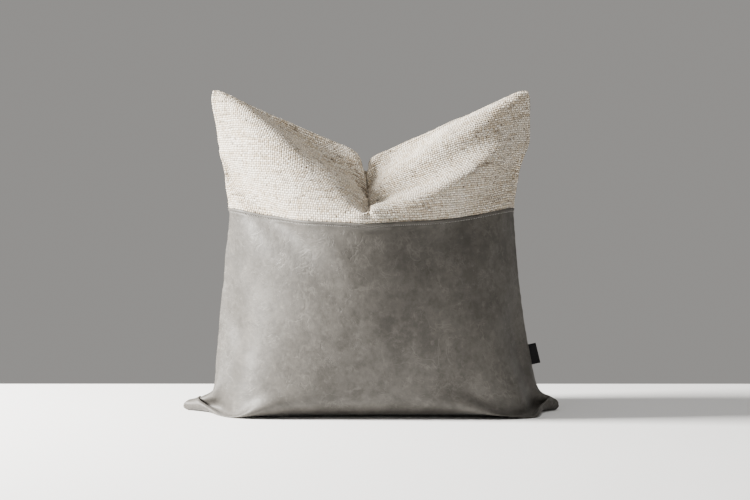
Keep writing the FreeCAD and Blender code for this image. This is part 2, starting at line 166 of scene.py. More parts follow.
def relax(P, steps, push, weight=0.10, damp=0.985, kb=0.02, shx=0.094, shz=0.03, seam=(0.895, 0.915, 0.985, 0.843),
          seam_w=0.03, attract=0.15, centre=0.03, grad=0.4, slip=0.9, ramp=0):
    """Settles the filled cover.  push is the pressure's displacement per step at mid height."""
    n = P.shape[1] - 1
    m = n + 1
    h = W / n
    rx = np.full((2, m, n), h)
    rz = np.full((2, n, m), h)
    v1 = np.linspace(-1, 1, m)
    tv = (v1 + 1) / 2
    d = np.arange(m) * h
    near = np.exp(-(d / seam_w) ** 1.5)
    ends = (1 - seam[1]) * near[::-1] + (1 - seam[2]) * near
    side = np.interp((tv[1:] + tv[:-1]) / 2, [0.60, 0.70], [1 - seam[0], 1 - seam[3]])[:, None] * (near + near[::-1])[None, :]
    bx = np.clip(tv / 0.25, 0, 1) * (0.5 + 0.5 * np.clip((1 - tv) / 0.3, 0, 1))
    rx *= (1 - np.maximum(shx * bx, ends))[None, :, None]
    rz *= (1 - np.maximum(shz, side))[None]
    # the loose weave gives sideways round the chop, and packs together down its middle
    mid = np.exp(-(v1 / 0.26) ** 2)[None, None, :]
    high = np.clip((tv - 0.63) / 0.08, 0, 1)[None, :, None]
    rx *= 1 + GIVE * (mid[..., 1:] + mid[..., :-1]) / 2 * high
    rz *= 1 - PACK * np.exp(-(v1 / 0.35) ** 2)[None, None, :] * (high[:, 1:] + high[:, :-1]) / 2
    rd = h * math.sqrt(2) * 0.95
    kbm = kb * np.where(v1 > 0.29, 1.2, 1.0)[None, :, None, None]
    corners = {(0, 0): (-0.261, 0, 0.004), (0, n): (0.261, 0, 0.004),
               (n, 0): (-0.2165, 0, 0.4395), (n, n): (0.2165, 0, 0.4395)}
    c = n // 2
    k = int(round(APEX * n))
    lines = [chop_line(m - k, f) for f in (0, 1)]
    j = int(round(JOIN_ROW / N * n))
    lo = int(round(0.60 * n))
    # the filling has sunk: the cloth next to the bottom seam lies flat, as far as the footprint goes
    foot = np.clip((FOOT - tv * W) / 0.025, 0, 1)[None, :, None] * np.clip((0.80 - np.abs(v1)) / 0.12, 0, 1)[None, None, :]
    vel = np.zeros_like(P)
    for it in range(steps):
        acc = area_vectors(P) / (h * h) * (1 + grad * (0.2 - P[..., 2:3]) / 0.2) * push
        acc[..., 2] -= weight * push
        old = P.copy()
        P += vel * damp + acc
        for o in (0, 1):
            project(P[:, :, o:-1:2], P[:, :, o + 1::2], rx[:, :, o::2], 1.0, 0.6)
            project(P[:, o:-1:2], P[:, o + 1::2], rz[:, o::2], 1.0, 0.6)
        for o in (0, 1):
            project(P[:, o:-1:2, :-1], P[:, o + 1::2, 1:], rd, 0.25, 0.1)
            project(P[:, o:-1:2, 1:], P[:, o + 1::2, :-1], rd, 0.25, 0.1)
        bend(P, kbm)
        weld(P)
        below = P[..., 2] < 0.0
        P[..., 2][below] = 0.0
        P[..., 2] += (0.0004 - P[..., 2]) * 0.2 * foot
        for a in (0, 1):
            P[..., a][below] = old[..., a][below] * (1 - slip) + P[..., a][below] * slip
        for (r, q), at in corners.items():
            P[:, r, q] += (np.array(at) - P[:, r, q]) * 0.5
        for q, sg, table in ((0, -1, SIDES[0]), (-1, 1, SIDES[1])):
            dx = (sg * np.interp(P[0, :, q, 2], table[:, 0], table[:, 1]) - P[0, :, q, 0]) * attract
            P[:, :, q, 0] += dx
        tx = np.abs(P[0, -1, :, 0])
        dz = (np.interp(tx, TOPE[:, 0], TOPE[:, 1]) - P[0, -1, :, 2]) * attract * np.clip((tx - 0.03) / 0.03, 0, 1)
        P[:, -1, :, 2] += dz
        for sl in (np.s_[:, -1, :, 1], np.s_[:, :, 0, 1], np.s_[:, :, -1, 1]):
            P[sl] *= 1 - centre
        # the chop holds the middle of the cloth down, and the two lobes beside it can't pass through each other
        g = 1.0 if it >= ramp else it / ramp
        for f in (0, 1):
            P[f, k:, c] += (lines[f] - P[f, k:, c]) * (0.02 + 0.28 * g if ramp else 0.3)
        cx = crease_x(P[:, lo:, :, 2])
        P[:, lo:, :c, 0] = np.minimum(P[:, lo:, :c, 0], cx[:, :, :c] - 0.0007)
        P[:, lo:, c + 1:, 0] = np.maximum(P[:, lo:, c + 1:, 0], cx[:, :, c + 1:] + 0.0007)
        zj = np.interp(np.abs(P[:, j, :, 0]), [0, 0.05, 0.10, 0.15, 0.19, 0.22], [0.2545, 0.2575, 0.2625, 0.2690, 0.2795, 0.2845])
        P[:, j, :, 2] += (zj - P[:, j, :, 2]) * (0.004 + 0.04 * np.clip(np.abs(P[:, j, :, 0]) / 0.19, 0, 1) ** 6)
        vel = np.clip(P - old, -0.4 * h, 0.4 * h)
    return P


APEX = 0.683
FOOT = 0.066
GIVE = 0.14
PACK = 0.07


def pinch(P):
    """Brings the lobes' walls together along the crease, as the filling behind them does."""
    n = P.shape[1] - 1
    c = n // 2
    x, z = P[..., 0], P[..., 2]
    dx = x - crease_x(z)
    w = np.clip((z - 0.259) / 0.016, 0, 1)
    w = w * w * (3 - 2 * w)
    u = 1 - np.clip((z - 0.338) / 0.030, 0, 1)
    w = w * u * u * (3 - 2 * u)
    w *= np.clip((np.arange(n + 1) / n - 0.655) / 0.02, 0, 1)[None, :, None]
    R = 0.070
    a = np.clip(np.abs(dx) / R, 0, 1)
    near = np.where(a < 1, R * a ** 1.9, np.abs(dx))
    near = np.abs(dx) + (near - np.abs(dx)) * w
    side = np.where(np.arange(n + 1) < c, -1.0, 1.0)[None, None, :]
    near[..., :c] = np.maximum(near[..., :c], np.minimum(np.abs(dx[..., :c]), 0.0011))
    near[..., c + 1:] = np.maximum(near[..., c + 1:], np.minimum(np.abs(dx[..., c + 1:]), 0.0011))
    moved = crease_x(z) + side * near
    moved[..., c] = x[..., c]
    P[..., 0] = np.where((w > 0) & (a < 1), moved, x)
    return P


def solve():
    P = start_shape(24, 1)
    P = relax(P, 1100, 1e-5, kb=0.01, ramp=500)
    P = upsample(P)
    P = relax(P, 900, 2.5e-6, kb=0.02)
    P = upsample(P)
    P = relax(P, 700, 6e-7, kb=0.04)
    P = upsample(P)
    return pinch(relax(P, 450, 1.6e-7, kb=0.14))


CLOTH = solve()


def round_corners(P, R=0.015):
    """Turned corners aren't sharp: the four tips are drawn in, both layers alike."""
    n = P.shape[1] - 1
    h = W / n
    mid = (P[0] + P[1]) / 2
    gu, gv = np.gradient(mid, h, axis=1), np.gradient(mid, h, axis=0)
    d = np.arange(n + 1) * h
    s, e = np.clip(1 - d / R, 0, 1) ** 2, np.clip(1 - d[::-1] / R, 0, 1) ** 2
    for su, sgu in ((s, 1), (e, -1)):
        for sv, sgv in ((s, 1), (e, -1)):
            k = (0.30 * R * su[None, :] * sv[:, None])[..., None]
            P += k * (gu * sgu + gv * sgv)
    return P


def smoothstep(a, b, v):
    t = np.clip((v - a) / (b - a), 0, 1)
    return t * t * (3 - 2 * t)


def settle_base(P):
    """The filling's weight spreads the base to a rounded rectangle; the two tips of the cover stay out of it."""
    n = P.shape[1] - 1
    v = np.arange(n + 1)
    low = P[..., 2] < 0.020
    edge = np.where(low, np.abs(P[..., 1]), 0).max(axis=1).mean(axis=0)
    xs = np.where(low[0], P[0, :, :, 0], 0).sum(0) / np.maximum(low[0].sum(0), 1)
    for _ in range(6):
        edge[1:-1] = (edge[:-2] + 2 * edge[1:-1] + edge[2:]) / 4
    half = np.where(xs < 0, 0.204, 0.226)
    want = 0.102 * np.sqrt(np.clip(1 - (np.abs(xs) / half) ** 8, 0, 1))
    r = np.clip(want / np.maximum(edge, 0.012), 1.0, 2.1)
    r = 1 + (r - 1) * smoothstep(6, 17, np.minimum(v, n - v))
    for _ in range(10):
        r[1:-1] = (r[:-2] + 2 * r[1:-1] + r[2:]) / 4
    z = P[..., 2]
    w = 1 - smoothstep(0.004, 0.185, z) ** 0.7
    P[..., 1] *= 1 + (r - 1)[None, None, :] * w
    out = 0.013 * np.exp(-((n - v - 23) / 9.0) ** 2) - 0.006 * np.exp(-((v - 22) / 8.0) ** 2)
    P[..., 0] += out[None, None, :] * (1 - smoothstep(0.006, 0.055, z))
    # between its corners the front and back of the base roll up off the floor
    roll = smoothstep(0.060, 0.096, np.abs(P[..., 1])) * (1 - smoothstep(0.0, 0.045, z))
    P[..., 2] += 0.0085 * roll * np.clip(1 - np.abs((P[..., 0] - 0.010) / 0.200) ** 4, 0, 1)
    return P


def ease(P):
    """A thick cloth over a full insert keeps only the broad folds: the fine ones beside the chop are let out."""
    n = P.shape[1] - 1
    c = n // 2
    h = W / n
    k = np.arange(n + 1)
    v = k / n
    rim = smoothstep(0.004, 0.030, np.minimum(k, n - k) * h)[None, None, :]

    def blurred(G, passes):
        S = G.copy()
        for _ in range(passes):
            S[:, 1:-1, 1:-1] = (2 * S[:, 1:-1, 1:-1] + 0.5 * (S[:, :-2, 1:-1] + S[:, 2:, 1:-1] + S[:, 1:-1, :-2] + S[:, 1:-1, 2:])) / 4
        return S
    below = (smoothstep(0.14, 0.26, v) * (1 - smoothstep(0.58, 0.66, v)))[None, :, None] * rim
    above = (smoothstep(0.58, 0.66, v) * smoothstep(0.004, 0.035, (n - k) * h))[None, :, None] * rim
    above = above * smoothstep(0.008, 0.045, np.abs(k - c) * h)[None, None, :]
    low = blurred(P[:, :int(0.75 * n)], 150)
    left, right = blurred(P[:, n // 2:, :c + 1], 150), blurred(P[:, n // 2:, c:], 150)
    high = P.copy()
    high[:, n // 2:, :c + 1] = left
    high[:, n // 2:, c + 1:] = right[:, :, 1:]
    full = P.copy()
    full[:, :int(0.75 * n)] = low
    return P + (full - P) * below[..., None] * 0.75 + (high - P) * above[..., None] * np.where(k > c, 0.85, 0.6)[None, None, :, None]


def belly(P):
    """Fullest below the join, drawn in a little at the join, and rounded again above it."""
    z = P[..., 2]
    P[..., 1] *= (1 + 0.050 * np.exp(-((z - 0.125) / 0.07) ** 2) - 0.060 * np.exp(-((z - 0.270) / 0.036) ** 2)
                  + 0.13 * smoothstep(0.285, 0.375, z))
    return P


CLOTH = belly(settle_base(ease(round_corners(CLOTH))))


# ------------------------------------------------------------------ cutting panels from the solved cloth
def cubic_weights(at, m):
    """Rows of weights that read a smooth line through m evenly spaced values at the given places."""
    at = np.clip(np.asarray(at, float), 0, m - 1)
    i = np.clip(np.floor(at).astype(int), 0, m - 2)
    t = at - i
    w = np.zeros((len(at), m))
    c = np.stack([-0.5 * t + t ** 2 - 0.5 * t ** 3, 1 - 2.5 * t ** 2 + 1.5 * t ** 3,
                  0.5 * t + 2 * t ** 2 - 1.5 * t ** 3, -0.5 * t ** 2 + 0.5 * t ** 3], 1)
    rows = np.arange(len(at))
    for k in range(4):
        j = i + k - 1
        lo, hi = j < 0, j > m - 1
        ok = ~(lo | hi)
        np.add.at(w, (rows[ok], j[ok]), c[ok, k])
        np.add.at(w, (rows[lo], np.zeros(lo.sum(), int)), 2 * c[lo, k])
        np.add.at(w, (rows[lo], np.ones(lo.sum(), int)), -c[lo, k])
        np.add.at(w, (rows[hi], np.full(hi.sum(), m - 1)), 2 * c[hi, k])
        np.add.at(w, (rows[hi], np.full(hi.sum(), m - 2)), -c[hi, k])
    return w


def read(G, us, vs):
    m = G.shape[0]
    wu, wv = cubic_weights(us, m), cubic_weights(vs, m)
    return np.einsum("ai,ijk,bj->abk", wv, G, wu, optimize=True)


def normals(G, face):
    du = np.gradient(G, axis=1)
    dv = np.gradient(G, axis=0)
    n = np.cross(du, dv) * (1 if face == 0 else -1)
    return n / np.maximum(np.linalg.norm(n, axis=-1, keepdims=True), 1e-12)


def smooth_noise(x, y, seed, octaves=3):
    """Value noise in numpy, the same every run; about -1..1."""
    out = np.zeros(np.broadcast(x, y).shape)
    amp, tot = 1.0, 0.0
    for o in range(octaves):
        rng = np.random.RandomState(seed + 17 * o)
        T = rng.uniform(-1, 1, (256, 256))
        xi, yi = np.floor(x).astype(int), np.floor(y).astype(int)
        fx, fy = x - xi, y - yi
        fx, fy = fx * fx * (3 - 2 * fx), fy * fy * (3 - 2 * fy)
        a = T[xi % 256, yi % 256] * (1 - fx) + T[(xi + 1) % 256, yi % 256] * fx
        b = T[xi % 256, (yi + 1) % 256] * (1 - fx) + T[(xi + 1) % 256, (yi + 1) % 256] * fx
        out += amp * (a * (1 - fy) + b * fy)
        tot += amp
        amp *= 0.5
        x, y = x * 2.03, y * 2.03
    return out / tot


def mesh_object(name, verts, faces, uvs=None, smooth=True):
    me = bpy.data.meshes.new(name)
    me.from_pydata(verts.tolist() if hasattr(verts, "tolist") else verts, [], faces)
    if uvs is not None:
        layer = me.uv_layers.new(name="flat")
        loops = np.zeros(len(me.loops), int)
        me.loops.foreach_get("vertex_index", loops)
        layer.data.foreach_set("uv", np.asarray(uvs)[loops].astype(np.float32).ravel())
    me.polygons.foreach_set("use_smooth", [smooth] * len(me.polygons))
    me.update()
    ob = bpy.data.objects.new(name, me)
    bpy.context.scene.collection.objects.link(ob)
    return ob


def grid_faces(rows, cols, flip, base=0):
    i = np.arange(rows * cols).reshape(rows, cols) + base
    q = np.stack([i[:-1, :-1], i[:-1, 1:], i[1:, 1:], i[1:, :-1]], -1).reshape(-1, 4)
    return q[:, ::-1] if flip else q


def panel(name, G, I, us, vs, face, inner_rows):
    """A closed panel: fine outer grid G, inner grid I on some of its rows, rims between them."""
    R, C = G.shape[:2]
    outer = grid_faces(R, C, face == 1)
    inner = grid_faces(len(inner_rows), C, face == 0, R * C)
    faces = outer.tolist() + inner.tolist()
    o = lambda r, c: r * C + c
    n = lambda k, c: R * C + k * C + c
    last = len(inner_rows) - 1
    for c in range(C - 1):
        a = [o(0, c + 1), o(0, c), n(0, c), n(0, c + 1)]
        b = [o(R - 1, c), o(R - 1, c + 1), n(last, c + 1), n(last, c)]
        faces += [a[::-1], b[::-1]] if face == 1 else [a, b]
    for k in range(last):
        r0, r1 = inner_rows[k], inner_rows[k + 1]
        a = [o(r, 0) for r in range(r0, r1 + 1)] + [n(k + 1, 0), n(k, 0)]
        b = [o(r, C - 1) for r in range(r1, r0 - 1, -1)] + [n(k, C - 1), n(k + 1, C - 1)]
        faces += [a[::-1], b[::-1]] if face == 1 else [a, b]
    uv = np.stack([us, vs], -1)
    if face == 1:
        uv[..., 0] += 0.8
    uvs = np.concatenate([uv.reshape(-1, 2), uv[inner_rows].reshape(-1, 2)])
    verts = np.concatenate([G.reshape(-1, 3), I.reshape(-1, 3)])
    return mesh_object(name, verts, faces, uvs)


def seam_profile(d, full=1.0):
    """How far the cloth stands off the solved surface at a distance d from a sewn seam."""
    mm = d * 1000
    return np.interp(mm, [0, 0.4, 0.9, 1.6, 2.5, 3.6, 6.0, 10.0], [-0.25, 0.60, 0.98, 1.15, 1.12, 0.9, 0.35, 0.0]) * 0.001 * full


H = W / N
edge_cells = np.array([0, 0.4, 0.9, 1.6, 2.5, 3.6]) / 1000 / H


def spread(lo, hi, step, lo_edge=False, hi_edge=False):
    """Places from lo to hi, in cells, step apart, with close rows beside a sewn edge."""
    a = lo + (edge_cells if lo_edge else np.array([0.0]))
    b = hi - (edge_cells if hi_edge else np.array([0.0]))
    first, last = a[-1], b[-1]
    k = max(2, int(round((last - first) / step)))
    mid = np.linspace(first, last, k + 1)[1:-1]
    return np.unique(np.concatenate([a, mid, b]))


def zipper_slot(G, us, vs, face):
    """Opens the bottom seam round the zipper by moving the two layers apart beside it."""
    sg = -1 if face == 0 else 1
    x, y, z = G[..., 0], G[..., 1], G[..., 2]
    open_ = np.clip((0.218 - np.abs(x)) / 0.010, 0, 1)
    open_ = open_ * open_ * (3 - 2 * open_)
    d = np.abs(y)
    room = 0.0039
    low = np.clip(1 - z / 0.012, 0, 1)
    shift = room * np.clip(1 - d / 0.040, 0, 1) * open_ * low
    G[..., 1] = y + sg * shift
    return G


def side_offset(us, vs, face, seed, full=1.0):
    """Outward offset from the seams all round: the turned edge and its little gathers."""
    uu, vv = np.meshgrid(np.asarray(us, float), np.asarray(vs, float))
    dl, dr = uu * H, (N - uu) * H
    db, dt = vv * H, (N - vv) * H
    off = seam_profile(dl, full) + seam_profile(dr, full) + seam_profile(dt, full)
    off += seam_profile(db, full) * np.clip((np.abs(uu / N - 0.5) * 2 - 0.84) / 0.05, 0, 1)
    amp_l = np.exp(-dl / 0.007) * (1 - np.exp(-dl / 0.0015))
    amp_r = np.exp(-dr / 0.007) * (1 - np.exp(-dr / 0.0015))
    amp_t = np.exp(-dt / 0.007) * (1 - np.exp(-dt / 0.0015))
    g = smooth_noise(vv * H / 0.0085, uu * H / 0.03, seed, 2)
    gt = smooth_noise(uu * H / 0.0085, vv * H / 0.03, seed + 5, 2)
    off += 0.0016 * (g * (amp_l + amp_r) + gt * amp_t)
    return off


PANELS = {}
JOIN_SINK = 0.0012


def lower_panel(face):
    tag = ("front", "back")[face]
    us = spread(0, N, 0.0019 / H, True, True)
    top = JOIN_ROW - np.array([12.0, 10.3, 8.6, 7.2, 6.2, 5.5, 5.0, 4.4, 3.6, 2.6, 1.7, 1.0, 0.5, 0.2, 0.0]) / 1000 / H
    vs = np.unique(np.concatenate([spread(0, JOIN_ROW - 0.014 / H, 0.0022 / H, True, False), top]))
    G = read(CLOTH[face], us, vs)
    nrm = normals(G, face)
    uu, vv = np.meshgrid(us, vs)
    off = side_offset(us, vs, face, 11 + face)
    dj = (JOIN_ROW - vv) * H * 1000
    # the turned edge: rounded lip, fuller between the edge and the stitching, pulled down at the stitching
    lip = np.interp(dj, [0, 0.25, 0.8, 2.2, 3.6, 4.6, 5.0, 5.5, 7.0, 10.0],
                    [-0.9, 0.55, 1.2, 1.35, 1.1, 0.45, -0.15, 0.35, 0.40, 0.0]) * 0.001
    ripple = smooth_noise(uu * H / 0.011, vv * 0 + 3.3, 31 + face, 2)
    lip *= 1 + 0.22 * ripple
    off = off + lip
    # broad, shallow unevenness of a feather filling under thin sheet
    off += 0.0009 * smooth_noise(uu * H / 0.055, vv * H / 0.055, 41 + face, 2) * np.clip((vv * H) / 0.05, 0, 1)
    G = G + nrm * off[..., None]
    G = zipper_slot(G, us, vs, face)
    G[..., 2] = np.maximum(G[..., 2], 0.0003)
    rows = list(range(0, len(vs), 2))
    if rows[-1] != len(vs) - 1:
        rows.append(len(vs) - 1)
    I = G[rows] - normals(G[rows], face) * LEATHER_T
    I[..., 2] = np.maximum(I[..., 2], 0.0008)
    ob = panel(tag + "_lower_cover", G, I, uu * H, vv * H, face, rows)
    PANELS[tag + "_lower"] = (ob, G, us, vs)
    return ob


WOVEN_DARK, WOVEN_LIGHT = (0.66, 0.54, 0.39), (0.99, 0.912, 0.785)
LEATHER_DARK, LEATHER_LIGHT, LEATHER_PALE = (0.052, 0.0473, 0.0410), (0.094, 0.0868, 0.0768), (0.164, 0.153, 0.136)
WAVES = ((0.00055, 41.0, 1.3), (0.00036, 97.0, 0.7), (0.00022, 263.0, 2.1))


def wander(t, lib_sin=np.sin):
    """The slight sideways drift of hand-laid yarns, the same in the mesh and in the material."""
    return sum(a * lib_sin(f * t + p) for a, f, p in WAVES)


def flat_across(G):
    """Flat distance across the cloth, from the left seam, measured along the solved rows."""
    d = np.linalg.norm(np.diff(G, axis=1), axis=-1)
    s = np.concatenate([np.zeros((len(G), 1)), np.cumsum(d, axis=1)], axis=1)
    c = G.shape[1] // 2
    return (s - s[:, c:c + 1]) * 1.04 + W / 2


def upper_panel(face):
    tag = ("front", "back")[face]
    us = spread(0, N, 0.00115 / H, True, True)
    first = JOIN_ROW - 0.006 / H
    vs = np.linspace(first, N, int(math.ceil((N - first) * H / (WEFT / 4.5))) + 1)
    vs = np.unique(np.concatenate([vs, N - edge_cells[1:3]]))
    G = read(CLOTH[face], us, vs)
    nrm = normals(G, face)
    uu, vv = np.meshgrid(us, vs)
    flat_u, flat_v = flat_across(G), vv * H
    off = side_offset(us, vs, face, 21 + face, 1.35)
    dj = (vv - JOIN_ROW) * H * 1000
    off += np.interp(dj, [-6, 0, 0.8, 2.5, 6], [-1.3, -1.0, -0.35, 0.15, 0.0]) * 0.001
    clear = np.clip((np.abs(G[..., 0] - crease_x(G[..., 2])) - 0.003) / 0.02, 0, 1)
    off += 0.0009 * smooth_noise(uu * H / 0.05, vv * H / 0.05, 51 + face, 2) * clear
    # thick weft yarns passing over and under the warp, uneven along their length
    y = (flat_v + wander(flat_u)) / WEFT
    x = (flat_u + wander(flat_v)) / WARP
    row = np.floor(y)
    slub = 0.85 + 0.6 * smooth_noise(flat_u / 0.014 + row * 7.1, row * 1.7, 61 + face, 2) + 0.25 * np.sin(row * 2.7) * np.sin(row * 0.61 + 1.0)
    over = np.where((np.floor(x) + row) % 2 == 0, 1.0, 0.45)
    bead = np.sqrt(np.abs(np.sin(np.pi * y))) * (0.55 + 0.45 * np.abs(np.sin(np.pi * x)) * over)
    seam_d = np.minimum(np.minimum(uu, N - uu), N - vv) * H
    off += 0.00066 * slub * (bead - 0.6) * (0.35 + 0.65 * clear) * np.clip(seam_d / 0.003, 0.25, 1)
    G = G + nrm * off[..., None]
    rows = list(range(0, len(vs), 6))
    if rows[-1] != len(vs) - 1:
        rows.append(len(vs) - 1)
    I = read(CLOTH[face], us, vs[rows])
    I = I + normals(I, face) * (side_offset(us, vs[rows], face, 21 + face, 1.35) - WOVEN_T)[..., None]
    ob = panel(tag + "_upper_cover", G, I, flat_u, flat_v, face, rows)
    PANELS[tag + "_upper"] = (ob, G, us, vs)
    return ob


# ------------------------------------------------------------------ node helpers
class Nodes:
    """Short names for the shader nodes used below."""

    def __init__(self, name):
        self.mat = bpy.data.materials.new(name)
        self.mat.use_nodes = True
        self.t = self.mat.node_tree
        self.bsdf = self.t.nodes["Principled BSDF"]

    def put(self, sock, v):
        if hasattr(v, "bl_idname") or isinstance(v, bpy.types.NodeSocket):
            self.t.links.new(v, sock)
        elif isinstance(v, (tuple, list)) and len(v) == 3 and sock.type == "RGBA":
            sock.default_value = tuple(v) + (1.0,)
        else:
            sock.default_value = v

    def node(self, kind, **props):
        n = self.t.nodes.new(kind)
        for k, v in props.items():
            setattr(n, k, v)
        return n

    def math(self, op, a, b=0.0, c=0.0, clamp=False):
        n = self.node("ShaderNodeMath", operation=op, use_clamp=clamp)
        self.put(n.inputs[0], a)
        self.put(n.inputs[1], b)
        self.put(n.inputs[2], c)
        return n.outputs[0]

    def uv(self):
        n = self.node("ShaderNodeUVMap", uv_map="flat")
        s = self.node("ShaderNodeSeparateXYZ")
        self.t.links.new(n.outputs[0], s.inputs[0])
        return s.outputs[0], s.outputs[1]

    def xyz(self, x, y, z=0.0):
        n = self.node("ShaderNodeCombineXYZ")
        self.put(n.inputs[0], x)
        self.put(n.inputs[1], y)
        self.put(n.inputs[2], z)
        return n.outputs[0]

    def noise(self, vec, scale=1.0, detail=2.0, rough=0.5, distort=0.0, out="Fac"):
        n = self.node("ShaderNodeTexNoise")
        self.put(n.inputs["Vector"], vec)
        n.inputs["Scale"].default_value = scale
        n.inputs["Detail"].default_value = detail
        n.inputs["Roughness"].default_value = rough
        n.inputs["Distortion"].default_value = distort
        return n.outputs[out]

    def voronoi(self, vec, scale, feature="F1", rand=1.0, out="Distance"):
        n = self.node("ShaderNodeTexVoronoi", feature=feature)
        self.put(n.inputs["Vector"], vec)
        n.inputs["Scale"].default_value = scale
        n.inputs["Randomness"].default_value = rand
        return n.outputs[out]

    def white(self, vec):
        n = self.node("ShaderNodeTexWhiteNoise", noise_dimensions="3D")
        self.put(n.inputs["Vector"], vec)
        return n.outputs["Value"]

    def remap(self, v, a, b, c=0.0, d=1.0, smooth=False):
        n = self.node("ShaderNodeMapRange", interpolation_type="SMOOTHSTEP" if smooth else "LINEAR")
        self.put(n.inputs["Value"], v)
        for k, x in zip(("From Min", "From Max", "To Min", "To Max"), (a, b, c, d)):
            self.put(n.inputs[k], x)
        return n.outputs[0]

    def mix(self, f, a, b, blend="MIX"):
        n = self.node("ShaderNodeMix", data_type="RGBA", blend_type=blend)
        self.put(n.inputs["Factor"], f)
        self.put(n.inputs["A"], a)
        self.put(n.inputs["B"], b)
        return n.outputs["Result"]

    def mixf(self, f, a, b):
        n = self.node("ShaderNodeMix", data_type="FLOAT")
        self.put(n.inputs["Factor"], f)
        self.put(n.inputs["A"], a)
        self.put(n.inputs["B"], b)
        return n.outputs["Result"]

    def bump(self, height, distance, strength=1.0, normal=None):
        n = self.node("ShaderNodeBump")
        n.inputs["Strength"].default_value = strength
        n.inputs["Distance"].default_value = distance
        self.put(n.inputs["Height"], height)
        if normal is not None:
            self.put(n.inputs["Normal"], normal)
        return n.outputs[0]

    def obj(self):
        n = self.node("ShaderNodeTexCoord")
        return n.outputs["Object"]


